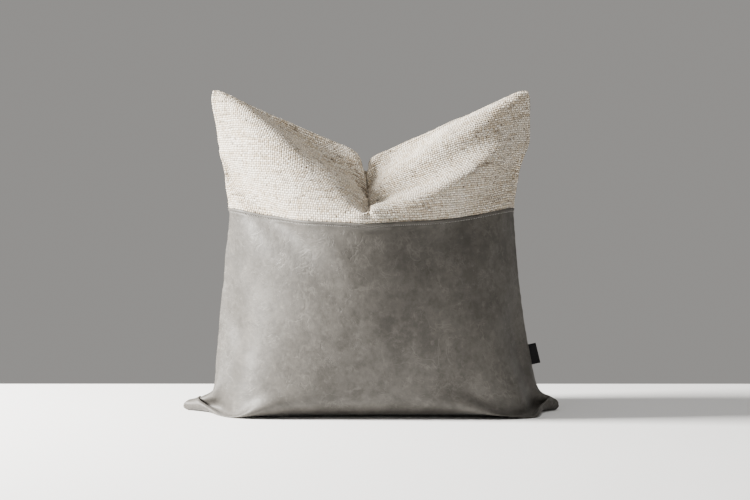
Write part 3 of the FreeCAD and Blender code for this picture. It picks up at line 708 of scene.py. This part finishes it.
def woven_material():
    m = Nodes("hand_woven_cloth")
    U, Q = m.uv()
    p = m.xyz(U, Q)

    def drift(t):
        out = None
        for a, f, ph in WAVES:
            w = m.math("MULTIPLY", m.math("SINE", m.math("MULTIPLY_ADD", t, f, ph)), a)
            out = w if out is None else m.math("ADD", out, w)
        return out
    y = m.math("DIVIDE", m.math("ADD", Q, drift(U)), WEFT)
    x = m.math("DIVIDE", m.math("ADD", U, drift(Q)), WARP)
    iy, ix = m.math("FLOOR", y), m.math("FLOOR", x)
    fy, fx = m.math("FRACT", y), m.math("FRACT", x)
    par = m.math("FLOORED_MODULO", m.math("ADD", ix, iy), 2.0)
    sy = m.math("SINE", m.math("MULTIPLY", fy, math.pi))
    sx = m.math("SINE", m.math("MULTIPLY", fx, math.pi))
    cell = m.white(m.xyz(ix, iy, 3.0))
    # yarn thickness: slubs along each weft row, less along the warp
    slub = m.noise(m.xyz(m.math("MULTIPLY", U, 75.0), m.math("MULTIPLY", iy, 3.71)), 1.0, 2.0)
    slub_w = m.noise(m.xyz(m.math("MULTIPLY", ix, 5.13), m.math("MULTIPLY", Q, 60.0), 7.0), 1.0, 2.0)
    up = m.mixf(par, m.remap(sx, 0, 1, 0.75, 1.0), m.remap(sx, 0, 1, 0.62, 0.26))
    weft = m.math("MULTIPLY", m.math("MULTIPLY", m.math("POWER", sy, 0.6), up), m.remap(slub, 0.3, 0.7, 0.7, 1.18))
    dn = m.mixf(par, m.remap(sy, 0, 1, 0.5, 0.10), m.remap(sy, 0, 1, 0.55, 0.86))
    warp = m.math("MULTIPLY", m.math("MULTIPLY", m.math("POWER", sx, 0.6), dn), m.remap(slub_w, 0.3, 0.7, 0.68, 1.05))
    height = m.math("MAXIMUM", weft, warp)
    is_weft = m.math("GREATER_THAN", weft, warp)
    # twisted fibres on the yarns
    fib = m.noise(m.xyz(m.math("MULTIPLY", m.math("ADD", U, m.math("MULTIPLY", Q, 0.7)), 800.0),
                        m.math("MULTIPLY", Q, 2100.0)), 1.0, 2.0)
    fib2 = m.noise(m.xyz(m.math("MULTIPLY", U, 2100.0),
                         m.math("MULTIPLY", m.math("ADD", Q, m.math("MULTIPLY", U, 0.7)), 800.0), 4.0), 1.0, 2.0)
    fibre = m.mixf(is_weft, fib2, fib)
    # colour: each yarn and each float of it has its own shade of cream
    tone_r = m.noise(m.xyz(m.math("MULTIPLY", U, 22.0), m.math("MULTIPLY", iy, 11.3), 1.0), 1.0, 1.0)
    tone_c = m.noise(m.xyz(m.math("MULTIPLY", ix, 9.7), m.math("MULTIPLY", Q, 20.0), 2.0), 1.0, 1.0)
    tone = m.math("ADD", m.mixf(is_weft, tone_c, tone_r), m.math("MULTIPLY", m.math("SUBTRACT", cell, 0.5), 0.26))
    broad = m.noise(p, 14.0, 3.0)
    tone = m.math("ADD", tone, m.math("MULTIPLY", m.math("SUBTRACT", broad, 0.5), 0.25))
    col = m.mix(m.remap(tone, 0.34, 0.60), WOVEN_DARK, WOVEN_LIGHT)
    col = m.mix(m.remap(is_weft, 0, 1, 0.35, 0.0), col, (0.44, 0.37, 0.285))
    # flecks spun into the yarn: tan, brown, and a few nearly black
    f1 = m.noise(m.xyz(m.math("MULTIPLY", U, 120.0), m.math("MULTIPLY", iy, 17.1), 5.0), 1.0, 1.0)
    f2 = m.noise(m.xyz(m.math("MULTIPLY", U, 150.0), m.math("MULTIPLY", iy, 23.7), 9.0), 1.0, 1.0)
    f3 = m.noise(m.xyz(m.math("MULTIPLY", ix, 19.3), m.math("MULTIPLY", Q, 150.0), 12.0), 1.0, 1.0)
    patch = m.noise(p, 16.0, 2.0)
    many = m.remap(patch, 0.35, 0.6, 0.3, 1.0)
    tan = m.math("MULTIPLY", m.remap(f1, 0.595, 0.655, smooth=True), m.math("MULTIPLY", is_weft, many))
    f4 = m.noise(m.xyz(m.math("MULTIPLY", U, 62.0), m.math("MULTIPLY", iy, 29.3), 19.0), 1.0, 1.0)
    thin = m.remap(m.math("ABSOLUTE", m.math("SUBTRACT", fy, 0.42)), 0.16, 0.30, 1.0, 0.0, smooth=True)
    dash = m.math("MULTIPLY", m.remap(f4, 0.575, 0.635, smooth=True), m.math("MULTIPLY", thin, many))
    brown = m.math("MULTIPLY", m.remap(f2, 0.655, 0.695, smooth=True), is_weft)
    warp_tan = m.math("MULTIPLY", m.remap(f3, 0.62, 0.68, smooth=True), m.math("SUBTRACT", 1.0, is_weft))
    pale = m.math("MULTIPLY", m.remap(m.noise(m.xyz(m.math("MULTIPLY", U, 45.0), m.math("MULTIPLY", iy, 31.3), 15.0), 1.0, 1.0), 0.62, 0.70, smooth=True), is_weft)
    col = m.mix(m.math("MULTIPLY", pale, 0.6), col, (0.93, 0.90, 0.84))
    col = m.mix(m.math("MULTIPLY", tan, 0.72), col, (0.34, 0.245, 0.155))
    col = m.mix(m.math("MULTIPLY", warp_tan, 0.6), col, (0.30, 0.22, 0.15))
    col = m.mix(m.math("MULTIPLY", brown, 0.85), col, (0.075, 0.054, 0.038))
    col = m.mix(m.math("MULTIPLY", dash, 0.80), col, (0.090, 0.066, 0.046))
    col = m.mix(m.remap(fibre, 0.35, 0.65, 0.22, 0.0), col, (0.45, 0.38, 0.29))
    # painted shade deep between the yarns: the low parts of the weave are darkened to near black-brown
    painted_gap_shade = m.remap(height, 0.18, 0.64, 0.90, 0.0, smooth=True)
    col = m.mix(painted_gap_shade, col, (0.115, 0.088, 0.06))
    m.put(m.bsdf.inputs["Base Color"], col)
    m.bsdf.inputs["Roughness"].default_value = 0.95
    m.bsdf.inputs["Specular IOR Level"].default_value = 0.2
    m.bsdf.inputs["Sheen Weight"].default_value = 0.32
    m.bsdf.inputs["Sheen Roughness"].default_value = 0.5
    m.bsdf.inputs["Sheen Tint"].default_value = (1.0, 0.97, 0.9, 1)
    h = m.math("ADD", height, m.math("MULTIPLY", fibre, 0.2))
    m.put(m.bsdf.inputs["Normal"], m.bump(h, 0.0019, 1.0))
    return m.mat


def leather_material():
    m = Nodes("distressed_leather_look")
    U, Q = m.uv()
    p = m.xyz(U, Q)
    warp = m.noise(p, 11.0, 3.0, out="Color")
    v = m.node("ShaderNodeVectorMath", operation="MULTIPLY_ADD")
    m.put(v.inputs[0], warp)
    v.inputs[1].default_value = (0.045, 0.045, 0.0)
    m.put(v.inputs[2], p)
    pw = v.outputs[0]
    big = m.noise(pw, 12.0, 3.0, 0.5)
    mid = m.noise(m.xyz(Q, U, 4.0), 42.0, 4.0, 0.62)
    small = m.noise(m.xyz(U, Q, 8.0), 130.0, 4.0, 0.65)
    tone = m.math("ADD", m.math("MULTIPLY", m.remap(big, 0.3, 0.7), 0.36),
                  m.math("ADD", m.math("MULTIPLY", m.remap(mid, 0.32, 0.68), 0.36),
                         m.math("MULTIPLY", m.remap(small, 0.33, 0.67), 0.28)))
    col = m.mix(m.remap(tone, 0.30, 0.72), LEATHER_DARK, LEATHER_LIGHT)
    # pale pull-up marks where the sheet has been bent, in loose patches: long soft ones and short sharp ones
    r1 = m.noise(pw, 26.0, 3.0, 0.5, 0.7)
    line1 = m.remap(m.math("ABSOLUTE", m.math("SUBTRACT", r1, 0.5)), 0.0, 0.030, 1.0, 0.0, smooth=True)
    r2 = m.noise(m.xyz(Q, U, 11.0), 52.0, 3.0, 0.55, 0.9)
    line2 = m.remap(m.math("ABSOLUTE", m.math("SUBTRACT", r2, 0.5)), 0.0, 0.028, 1.0, 0.0, smooth=True)
    r3 = m.noise(m.xyz(U, Q, 31.0), 88.0, 2.0, 0.5, 1.2)
    line3 = m.remap(m.math("ABSOLUTE", m.math("SUBTRACT", r3, 0.5)), 0.0, 0.020, 1.0, 0.0, smooth=True)
    where = m.noise(m.xyz(U, Q, 15.0), 15.0, 4.0, 0.6)
    where2 = m.noise(m.xyz(U, Q, 21.0), 30.0, 3.0)
    where3 = m.noise(m.xyz(U, Q, 27.0), 48.0, 3.0)
    line1 = m.math("MULTIPLY", line1, m.remap(where, 0.47, 0.62, smooth=True))
    line2 = m.math("MULTIPLY", line2, m.remap(where2, 0.50, 0.64, smooth=True))
    line3 = m.math("MULTIPLY", line3, m.remap(where3, 0.54, 0.66, smooth=True))
    lines = m.math("MAXIMUM", m.math("MULTIPLY", line1, 0.75),
                   m.math("MAXIMUM", m.math("MULTIPLY", line2, 0.8), m.math("MULTIPLY", line3, 0.7)))
    crack = m.voronoi(pw, 170.0, "DISTANCE_TO_EDGE")
    crackle = m.math("MULTIPLY", m.remap(crack, 0.0, 0.07, 1.0, 0.0, smooth=True), m.remap(where2, 0.48, 0.68, smooth=True))
    spots = m.remap(m.noise(m.xyz(U, Q, 35.0), 75.0, 4.0, 0.62), 0.56, 0.70, smooth=True)
    col = m.mix(m.math("MULTIPLY", spots, 0.34), col, LEATHER_PALE)
    col = m.mix(m.math("MULTIPLY", lines, 0.36), col, LEATHER_PALE)
    col = m.mix(m.math("MULTIPLY", crackle, 0.18), col, LEATHER_PALE)
    # the turned edge at the join is rubbed paler
    rub = m.remap(m.noise(p, 140.0, 3.0), 0.35, 0.65)
    edge = m.remap(m.math("ABSOLUTE", m.math("SUBTRACT", Q, JOIN_ROW * H)), 0.0, 0.0016, 1.0, 0.0, smooth=True)
    col = m.mix(m.math("MULTIPLY", m.math("MULTIPLY", edge, rub), 0.35), col, LEATHER_PALE)
    # needle holes painted as near-black shade, and the painted shade of the groove that the stitches lie in
    row = m.math("ABSOLUTE", m.math("SUBTRACT", Q, JOIN_ROW * H - 0.005))
    needle_hole_shade = m.math("ABSOLUTE", m.math("SUBTRACT", m.math("FRACT", m.math("DIVIDE", m.math("SUBTRACT", U, 0.0075 * W), 0.00305)), 0.5))
    needle_hole_shade = m.math("MULTIPLY", m.remap(needle_hole_shade, 0.30, 0.44, smooth=True), m.remap(row, 0.0005, 0.0011, 1.0, 0.0, smooth=True))
    col = m.mix(m.remap(row, 0.0004, 0.0016, 0.42, 0.0, smooth=True), col, (0.030, 0.028, 0.025))
    col = m.mix(m.math("MULTIPLY", needle_hole_shade, 0.9), col, (0.012, 0.011, 0.010))
    grain = m.voronoi(m.xyz(U, Q, 2.0), 1050.0, "SMOOTH_F1")
    col = m.mix(m.remap(grain, 0.2, 0.75, 0.14, 0.0), col, (0.07, 0.066, 0.06))
    m.put(m.bsdf.inputs["Base Color"], col)
    rough = m.math("SUBTRACT", m.remap(mid, 0.3, 0.7, 0.60, 0.47), m.math("MULTIPLY", lines, 0.06))
    m.put(m.bsdf.inputs["Roughness"], rough)
    m.bsdf.inputs["Specular IOR Level"].default_value = 0.30
    m.bsdf.inputs["Sheen Weight"].default_value = 0.06
    fine = m.noise(m.xyz(U, Q, 6.0), 700.0, 3.0)
    h1 = m.math("ADD", m.math("MULTIPLY", grain, 0.6), m.math("MULTIPLY", fine, 0.35))
    b1 = m.bump(h1, 0.00022, 0.6)
    h2 = m.math("ADD", m.math("MULTIPLY", lines, -0.4), m.math("ADD", m.math("MULTIPLY", mid, 1.2), m.math("MULTIPLY", small, 0.5)))
    m.put(m.bsdf.inputs["Normal"], m.bump(h2, 0.0008, 0.6, b1))
    return m.mat


def thread_material(name, colour, dark):
    m = Nodes(name)
    o = m.obj()
    n = m.noise(o, 900.0, 3.0)
    w = m.node("ShaderNodeTexWave", wave_type="BANDS", bands_direction="DIAGONAL")
    m.put(w.inputs["Vector"], o)
    w.inputs["Scale"].default_value = 900.0
    w.inputs["Distortion"].default_value = 1.5
    col = m.mix(n, dark, colour)
    # painted shade: the low bands of the twist, where the bump dips, are darkened towards the dark colour
    col = m.mix(m.remap(w.outputs["Fac"], 0, 1, 0.35, 0.0), col, dark)
    m.put(m.bsdf.inputs["Base Color"], col)
    m.bsdf.inputs["Roughness"].default_value = 0.6
    m.bsdf.inputs["Sheen Weight"].default_value = 0.15
    m.put(m.bsdf.inputs["Normal"], m.bump(w.outputs["Fac"], 0.0001, 0.6))
    return m.mat


def cloth_material(name, light, dark, pitch, rough=0.85, sheen=0.1, bump=0.0001, spec=0.3):
    """Fine plain cloth, tape and ribbon, in object space."""
    m = Nodes(name)
    o = m.obj()
    s = m.node("ShaderNodeSeparateXYZ")
    m.put(s.inputs[0], o)
    fx = m.math("SINE", m.math("MULTIPLY", s.outputs[0], math.pi / pitch))
    fz = m.math("SINE", m.math("MULTIPLY", m.math("ADD", s.outputs[2], s.outputs[1]), math.pi / pitch))
    w = m.math("MULTIPLY", fx, fz)
    h = m.remap(w, -1, 1)
    n = m.noise(o, 60.0, 4.0)
    col = m.mix(m.remap(n, 0.3, 0.7, 0.0, 0.7), light, dark)
    # painted shade: the low points of the weave are darkened towards the dark colour
    col = m.mix(m.remap(h, 0, 1, 0.35, 0.0), col, dark)
    m.put(m.bsdf.inputs["Base Color"], col)
    m.bsdf.inputs["Roughness"].default_value = rough
    m.bsdf.inputs["Sheen Weight"].default_value = sheen
    m.bsdf.inputs["Specular IOR Level"].default_value = spec
    m.put(m.bsdf.inputs["Normal"], m.bump(h, bump, 0.7))
    return m.mat


def metal_material():
    m = Nodes("dark_coated_metal")
    o = m.obj()
    n = m.noise(o, 260.0, 5.0)
    wear = m.remap(m.noise(o, 900.0, 3.0), 0.55, 0.75, smooth=True)
    m.put(m.bsdf.inputs["Base Color"], m.mix(wear, (0.09, 0.09, 0.095), (0.30, 0.30, 0.31)))
    m.bsdf.inputs["Metallic"].default_value = 0.85
    m.put(m.bsdf.inputs["Roughness"], m.remap(n, 0.3, 0.7, 0.28, 0.48))
    m.put(m.bsdf.inputs["Normal"], m.bump(n, 0.00005, 0.4))
    return m.mat


def coil_material():
    m = Nodes("zipper_coil_plastic")
    o = m.obj()
    n = m.noise(o, 500.0, 4.0)
    m.put(m.bsdf.inputs["Base Color"], m.mix(n, (0.06, 0.06, 0.06), (0.16, 0.16, 0.155)))
    m.put(m.bsdf.inputs["Roughness"], m.remap(n, 0.3, 0.7, 0.35, 0.55))
    m.put(m.bsdf.inputs["Normal"], m.bump(n, 0.00004, 0.4))
    return m.mat


WOVEN = woven_material()
LEATHER = leather_material()
STITCH = thread_material("grey_topstitch_thread", (0.45, 0.43, 0.395), (0.25, 0.24, 0.22))
SEAM_THREAD = thread_material("seam_thread_grey", (0.22, 0.215, 0.20), (0.10, 0.098, 0.09))
TICKING = cloth_material("downproof_ticking", (0.80, 0.785, 0.745), (0.62, 0.60, 0.56), 0.0006)
FEATHER = cloth_material("feather_and_fibre", (0.84, 0.81, 0.75), (0.58, 0.54, 0.47), 0.004, bump=0.0015, sheen=0.4)
LABEL = cloth_material("black_woven_ribbon", (0.012, 0.012, 0.013), (0.004, 0.004, 0.0045), 0.00045, rough=0.7, sheen=0.02, bump=0.00012, spec=0.12)
SATIN = cloth_material("white_satin_ribbon", (0.82, 0.81, 0.79), (0.66, 0.65, 0.63), 0.0005, rough=0.45, sheen=0.2)
TAPE = cloth_material("zipper_tape_weave", (0.17, 0.167, 0.16), (0.09, 0.088, 0.084), 0.0008, sheen=0.15, bump=0.0002)
METAL = metal_material()
COIL = coil_material()


# ------------------------------------------------------------------ cover
pieces = {}
for face in (0, 1):
    tag = ("front", "back")[face]
    lo, up = lower_panel(face), upper_panel(face)
    lo.data.materials.append(LEATHER)
    up.data.materials.append(WOVEN)
    pieces[tag + "_lower"], pieces[tag + "_upper"] = lo, up
    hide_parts(tag + "_lower_panel")
    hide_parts(tag + "_upper_panel")


def surface_line(face, us, v, lift=0.0):
    """Points, outward normals and directions along a row of the finished lower panel."""
    ob, G, gu, gv = PANELS[("front", "back")[face] + "_lower"]
    j = int(np.argmin(np.abs(gv - v)))
    nr = normals(G, face)[j]
    line = np.stack([np.interp(us, gu, G[j, :, a]) for a in range(3)], 1)
    nn = np.stack([np.interp(us, gu, nr[:, a]) for a in range(3)], 1)
    return line + nn * lift, nn


def stitches(name, face):
    """Topstitching: one rounded stitch after another, each dipping into the sheet at its ends."""
    v = JOIN_ROW - 0.005 / H
    pitch = 0.00305
    n = int(W * 0.985 / pitch)
    verts, faces = [], []
    rng = np.random.RandomState(7 + face)
    r = 0.00050
    prof = np.linspace(-1, 1, 7)
    for i in range(n):
        c = 0.0075 * W + (i + 0.5) * pitch
        half = pitch * 0.37
        us = (c + prof * half) / H
        pts, nn = surface_line(face, us, v)
        lift = r * 0.95 * np.sqrt(np.clip(1 - prof ** 4, 0, 1)) - r * 0.55 * prof ** 4 * 2
        lift = lift + 0.00005 * rng.randn()
        pts = pts + nn * lift[:, None]
        tan = np.gradient(pts, axis=0)
        tan /= np.linalg.norm(tan, axis=1, keepdims=True)
        side = np.cross(nn, tan)
        tilt = 0.10 + 0.03 * rng.randn()
        base = len(verts)
        for k in range(7):
            rr = r * math.sqrt(max(0.06, 1 - prof[k] ** 4 * 0.94))
            mid = pts[k] + side[k] * tilt * half * prof[k]
            for a in range(8):
                ang = a * math.pi / 4
                verts.append(mid + rr * (math.cos(ang) * side[k] * 1.1 + math.sin(ang) * nn[k] * 0.9))
        for k in range(6):
            for a in range(8):
                b = (a + 1) % 8
                faces.append([base + k * 8 + a, base + k * 8 + b, base + k * 8 + 8 + b, base + k * 8 + 8 + a])
        faces.append([base + a for a in range(7, -1, -1)])
        faces.append([base + 48 + a for a in range(8)])
    ob = mesh_object(name, np.array(verts), faces)
    ob.data.materials.append(STITCH)
    return ob


for face in (0, 1):
    tag = ("front", "back")[face]
    ob = stitches(tag + "_join_stitches", face)
    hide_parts(tag + "_join_topstitch")
    pieces[tag + "_stitches"] = ob


# ------------------------------------------------------------------ thread in the side and top seams
def seam_path():
    G = CLOTH[0]
    left = G[::1, 0]
    top = G[-1, 1:]
    right = G[-2::-1, -1]
    return np.concatenate([left, top, right])


def tube(path, radius, sides=6, closed=False):
    tan = np.gradient(path, axis=0)
    tan /= np.maximum(np.linalg.norm(tan, axis=1, keepdims=True), 1e-9)
    ref = np.tile([0.0, 1.0, 0.0], (len(path), 1))
    a = np.cross(tan, ref)
    a /= np.maximum(np.linalg.norm(a, axis=1, keepdims=True), 1e-9)
    b = np.cross(tan, a)
    verts, faces = [], []
    for k in range(len(path)):
        for s in range(sides):
            t = 2 * math.pi * s / sides
            verts.append(path[k] + radius * (math.cos(t) * a[k] + math.sin(t) * b[k]))
    for k in range(len(path) - 1):
        for s in range(sides):
            q = (s + 1) % sides
            faces.append([k * sides + s, k * sides + q, (k + 1) * sides + q, (k + 1) * sides + s])
    faces.append(list(range(sides))[::-1])
    faces.append([(len(path) - 1) * sides + s for s in range(sides)])
    return np.array(verts), faces


def inward(path, depth):
    """Moves points of the seam into the pillow, in the seam's plane."""
    tan = np.gradient(path, axis=0)
    tan[:, 1] = 0
    tan /= np.maximum(np.linalg.norm(tan, axis=1, keepdims=True), 1e-9)
    n = np.stack([tan[:, 2], np.zeros(len(path)), -tan[:, 0]], 1)   # right-hand side of the way round
    return path + n * depth


raw = seam_path()
s_len = np.concatenate([[0], np.cumsum(np.linalg.norm(np.diff(raw, axis=0), axis=1))])
fine_s = np.arange(0.004, s_len[-1] - 0.004, 0.0008)
fine = np.stack([np.interp(fine_s, s_len, raw[:, a]) for a in range(3)], 1)
fine = inward(fine, 0.0013)
fine[:, 1] += 0.00035 * np.sin(fine_s / 0.0030 * 2 * math.pi)
fine[:, 2] = np.maximum(fine[:, 2], 0.0012)
tv, tf = tube(fine, 0.00035)
seam = mesh_object("seam_stitching", tv, tf)
seam.data.materials.append(SEAM_THREAD)
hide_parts("seam_thread")
pieces["seam"] = seam


# ------------------------------------------------------------------ insert and filling
def cover_tree():
    verts = np.concatenate([CLOTH[0].reshape(-1, 3), CLOTH[1].reshape(-1, 3)])
    faces = np.concatenate([grid_faces(N + 1, N + 1, False), grid_faces(N + 1, N + 1, True, (N + 1) ** 2)])
    return BVHTree.FromPolygons([Vector(v) for v in verts], faces.tolist())


TREE = cover_tree()


def shrunk(name, depth, us_step, nodes, mat):
    """The closed form inside the cover, a given depth below the solved surface."""
    k = N // us_step
    at = np.linspace(0, N, k + 1)
    verts, faces = [], []
    grids = []
    for f in (0, 1):
        G = read(CLOTH[f], at, at)
        # soften the crease and the tips, which a filling doesn't follow
        for _ in range(6):
            S = G.copy()
            S[1:-1, 1:-1] = (G[1:-1, 1:-1] * 2 + G[:-2, 1:-1] + G[2:, 1:-1] + G[1:-1, :-2] + G[1:-1, 2:]) / 6
            G = S
        nn = normals(G, f)
        grids.append(G - nn * depth)
    a = (grids[0] + grids[1]) * 0.5
    for G in grids:
        for sl in (np.s_[0, :], np.s_[-1, :], np.s_[:, 0], np.s_[:, -1]):
            G[sl] = a[sl]
    centre = np.array([0, 0, 0.17])
    for G in grids:
        # pulled in from the seams as well
        d = G - centre
        d[..., 0] *= 1 - (depth + 0.004) / 0.20
        d[..., 2] *= 1 - (depth + 0.004) / 0.18
        G[:] = centre + d
        lim = 0.196 - depth
        x = G[..., 0]
        low = np.clip(1 - G[..., 2] / 0.10, 0, 1)
        over = np.maximum(np.abs(x) - lim, 0) * low
        G[..., 0] = x - np.sign(x) * over
        G[..., 2] = np.maximum(G[..., 2], 0.0078 + depth * 0.35)
    m = k + 1
    ids = np.arange(m * m).reshape(m, m)
    back = ids + m * m
    for sl in (np.s_[0, :], np.s_[-1, :], np.s_[:, 0], np.s_[:, -1]):
        back[sl] = ids[sl]
    q = lambda I, flip: np.stack([I[:-1, :-1], I[:-1, 1:], I[1:, 1:], I[1:, :-1]], -1).reshape(-1, 4)[:, ::(-1 if flip else 1)]
    faces = q(ids, False).tolist() + q(back, True).tolist()
    verts = np.concatenate([grids[0].reshape(-1, 3), grids[1].reshape(-1, 3)])
    for _ in range(3):
        for i, v in enumerate(verts):
            at, nn, _f, _d = TREE.find_nearest(Vector(v))
            if (Vector(v) - at).dot(nn) > -depth * 0.95:
                verts[i] = at - nn * depth
    verts[:, 2] = np.maximum(verts[:, 2], 0.0078 + depth * 0.35)
    used = sorted({i for f in faces for i in f})
    new = {o: i for i, o in enumerate(used)}
    faces = [[new[i] for i in f] for f in faces]
    ob = mesh_object(name, verts[used], faces)
    ob.data.materials.append(mat)
    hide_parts(*nodes)
    return ob


insert = shrunk("insert_shell", 0.0040, 2, ["insert_ticking_front", "insert_ticking_back"], TICKING)
filling = shrunk("feather_fill", 0.0075, 3, ["feather_filling"], FEATHER)


# ------------------------------------------------------------------ side label
def side_label():
    """A ribbon folded in two, its cut ends caught in the right side seam."""
    length, out, inside, t = 0.028, 0.0108, 0.0016, 0.00028
    nl, seg = 15, []
    for s in np.linspace(-inside, out - 0.0006, 9):
        seg.append((s, -t - 0.00012))
    for a in np.linspace(-90, 90, 7)[1:-1]:
        seg.append((out - 0.0006 + 0.0006 * math.cos(math.radians(a)), (t + 0.00012) * math.sin(math.radians(a))))
    for s in np.linspace(out - 0.0006, -inside, 9):
        seg.append((s, t + 0.00012))
    seg = np.array(seg)
    seam_line = CLOTH[0][:, -1]
    verts, uvs = [], []
    for i in range(nl):
        q = i / (nl - 1) - 0.5
        z = 0.0765 + q * length
        tilt = math.radians(14)
        for s, y in seg:
            k = s / out
            bow = 0.0007 * math.sin(q * 5.0 + 0.6) * k + 0.0009 * k * k
            x = s * math.cos(tilt) - q * length * math.sin(tilt)
            zz = 0.0765 + q * length * math.cos(tilt) + s * math.sin(tilt) * 0.9
            sx = np.interp(0.0765, seam_line[:, 2], seam_line[:, 0])
            sy = np.interp(zz, seam_line[:, 2], seam_line[:, 1])
            verts.append((sx + 0.0012 + x, sy + y - bow, zz))
            uvs.append((s, q * length))
    m = len(seg)
    faces = [[i * m + j, i * m + j + 1, (i + 1) * m + j + 1, (i + 1) * m + j] for i in range(nl - 1) for j in range(m - 1)]
    ob = mesh_object("side_ribbon_label", np.array(verts), faces, uvs)
    sol = ob.modifiers.new("thickness", "SOLIDIFY")
    sol.thickness = 0.00022
    sol.offset = 0.0
    ob.data.materials.append(LABEL)
    return ob


label = side_label()
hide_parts("side_label")

# ------------------------------------------------------------------ carried-over CAD nodes
for names, mat in ((("zipper_tape_front", "zipper_tape_back"), TAPE), (("zipper_teeth_front", "zipper_teeth_back"), COIL),
                   (("zipper_top_stops", "zipper_bottom_stop", "zipper_slider", "zipper_pull"), METAL),
                   (("care_label", "insert_label"), SATIN)):
    for n in names:
        o = NODES[n]
        o.data.materials.clear()
        o.data.materials.append(mat)

# ------------------------------------------------------------------ rides: the new pieces are parented to the pillow's body
for ob in list(pieces.values()) + [insert, filling, label]:
    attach(ob, "pillow")

# ------------------------------------------------------------------ stage, light, camera
floor = mesh_object("floor", np.array([(-0.66, -0.72, 0), (0.66, -0.72, 0), (0.66, 0.31, 0), (-0.66, 0.31, 0)], float), [[0, 1, 2, 3]], smooth=False)
fm = Nodes("pale_floor")
fn = fm.noise(fm.obj(), 3.0, 3.0)
fm.put(fm.bsdf.inputs["Base Color"], fm.mix(fn, (0.80, 0.80, 0.80), (0.84, 0.84, 0.84)))
fm.bsdf.inputs["Roughness"].default_value = 0.75
floor.data.materials.append(fm.mat)

world = bpy.data.worlds.new("studio")
bpy.context.scene.world = world
world.use_nodes = True
world.node_tree.nodes["Background"].inputs[0].default_value = (0.345, 0.335, 0.322, 1)
world.node_tree.nodes["Background"].inputs[1].default_value = 0.90


def area(name, at, aim, size, power, colour=(1, 1, 1)):
    l = bpy.data.lights.new(name, "AREA")
    l.shape = "RECTANGLE"
    l.size, l.size_y = size
    l.energy = power
    l.color = colour
    o = bpy.data.objects.new(name, l)
    o.location = at
    o.rotation_euler = (Vector(aim) - Vector(at)).to_track_quat("-Z", "Y").to_euler()
    bpy.context.scene.collection.objects.link(o)


area("key", (-2.19, -0.17, 1.18), (0, 0, 0.22), (0.5, 0.6), 470, (1.0, 0.975, 0.928))

area("top", (0.10, -0.30, 1.80), (0, 0, 0.30), (1.2, 1.2), 11, (1.0, 0.99, 0.97))

cam = bpy.data.cameras.new("camera")
cam.sensor_width = 36
cam.lens = 76.8
camera = bpy.data.objects.new("camera", cam)
camera.location = (0.006, -2.184, 0.289)
camera.rotation_euler = (math.radians(90 - 1.826), 0, 0)
bpy.context.scene.collection.objects.link(camera)
bpy.context.scene.camera = camera
